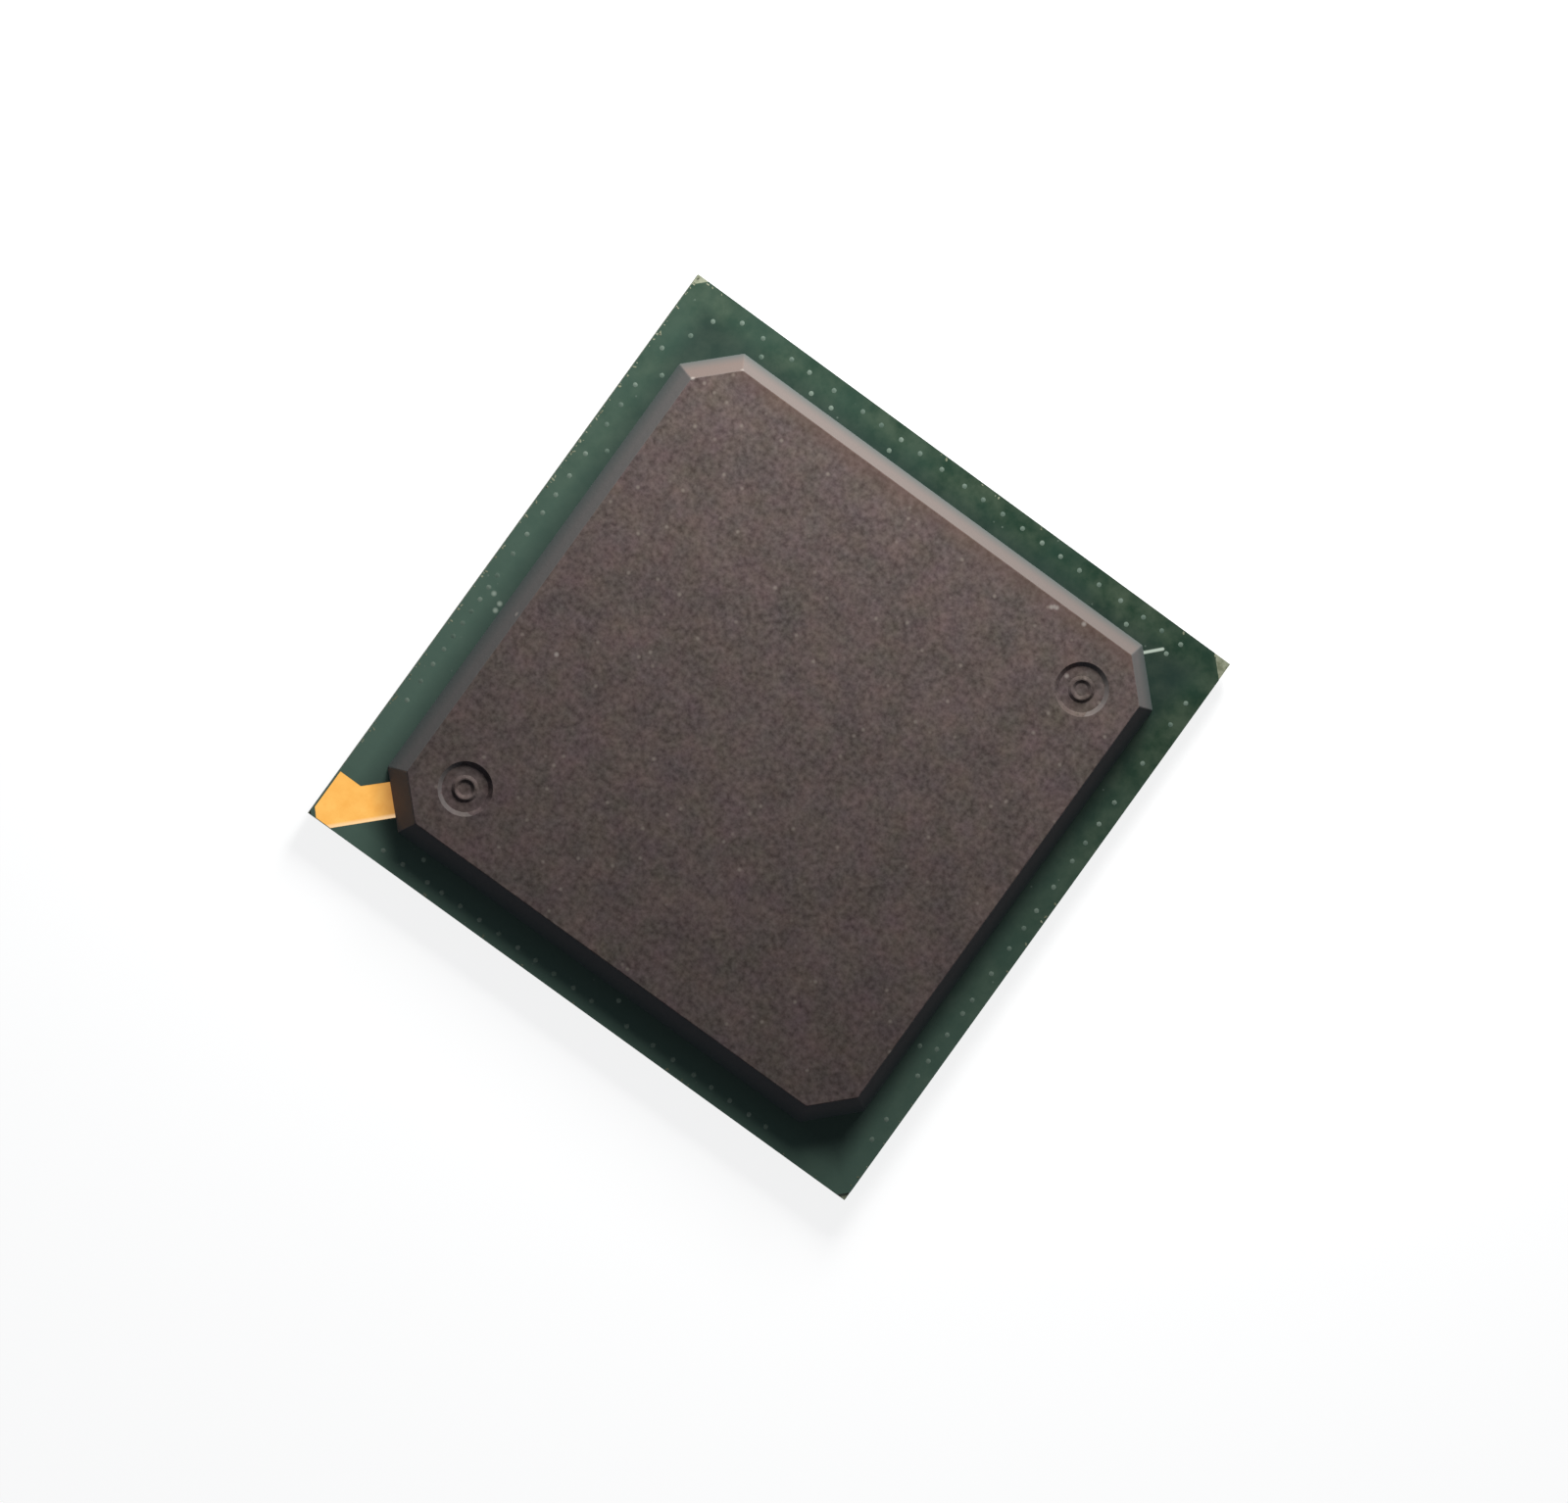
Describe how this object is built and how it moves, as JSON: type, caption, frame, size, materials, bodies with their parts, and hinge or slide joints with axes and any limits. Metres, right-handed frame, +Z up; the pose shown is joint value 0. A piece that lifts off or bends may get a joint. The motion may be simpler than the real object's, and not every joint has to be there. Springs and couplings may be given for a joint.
{
  "type": "ball grid array chip",
  "caption": "Plastic ball grid array chip: a moulded cap on a square green laminate board that stands on a grid of solder balls.",
  "frame": {"origin": "centre of the seating plane, where the solder balls touch the surface below", "axes": "+Z up through the moulded cap, +X along the board's first-pin front edge, with the gold gate at the -X, -Y corner"},
  "size_m": [0.027, 0.027, 0.0022],
  "materials": {
    "mould_compound": "matt epoxy moulding compound with fine silica grain",
    "solder_mask": "semi-gloss green solder mask",
    "laminate": "sawn glass cloth and resin",
    "copper": "satin copper",
    "gold": "satin gold",
    "solder": "satin solder",
    "silicon": "polished silicon",
    "silver_epoxy": "silver-filled glue",
    "plug_resin": "cured hole-filling resin"
  },
  "bodies": {
    "root": {"mould_cap": "mould_compound", "silicon_die": "silicon", "die_attach": "silver_epoxy", "die_paddle": "copper", "ground_rail": "copper", "power_rail": "copper", "signal_nets": "copper", "spare_via_lands": "copper", "gate_land": "gold", "signal_wires": "gold", "supply_wires": "gold", "top_solder_mask": "solder_mask", "bottom_solder_mask": "solder_mask", "upper_prepreg": "laminate", "core_laminate": "laminate", "lower_prepreg": "laminate", "ground_plane": "copper", "power_plane": "copper", "rim_via_barrels": "copper", "thermal_via_barrels": "copper", "rail_via_barrels": "copper", "rim_via_plugs": "plug_resin", "inner_via_plugs": "plug_resin", "ball_pads": "copper", "solder_balls_ring_1": "solder", "solder_balls_ring_2": "solder", "solder_balls_ring_3": "solder", "solder_balls_ring_4": "solder", "solder_balls_centre": "solder"}
  },
  "joints": []
}
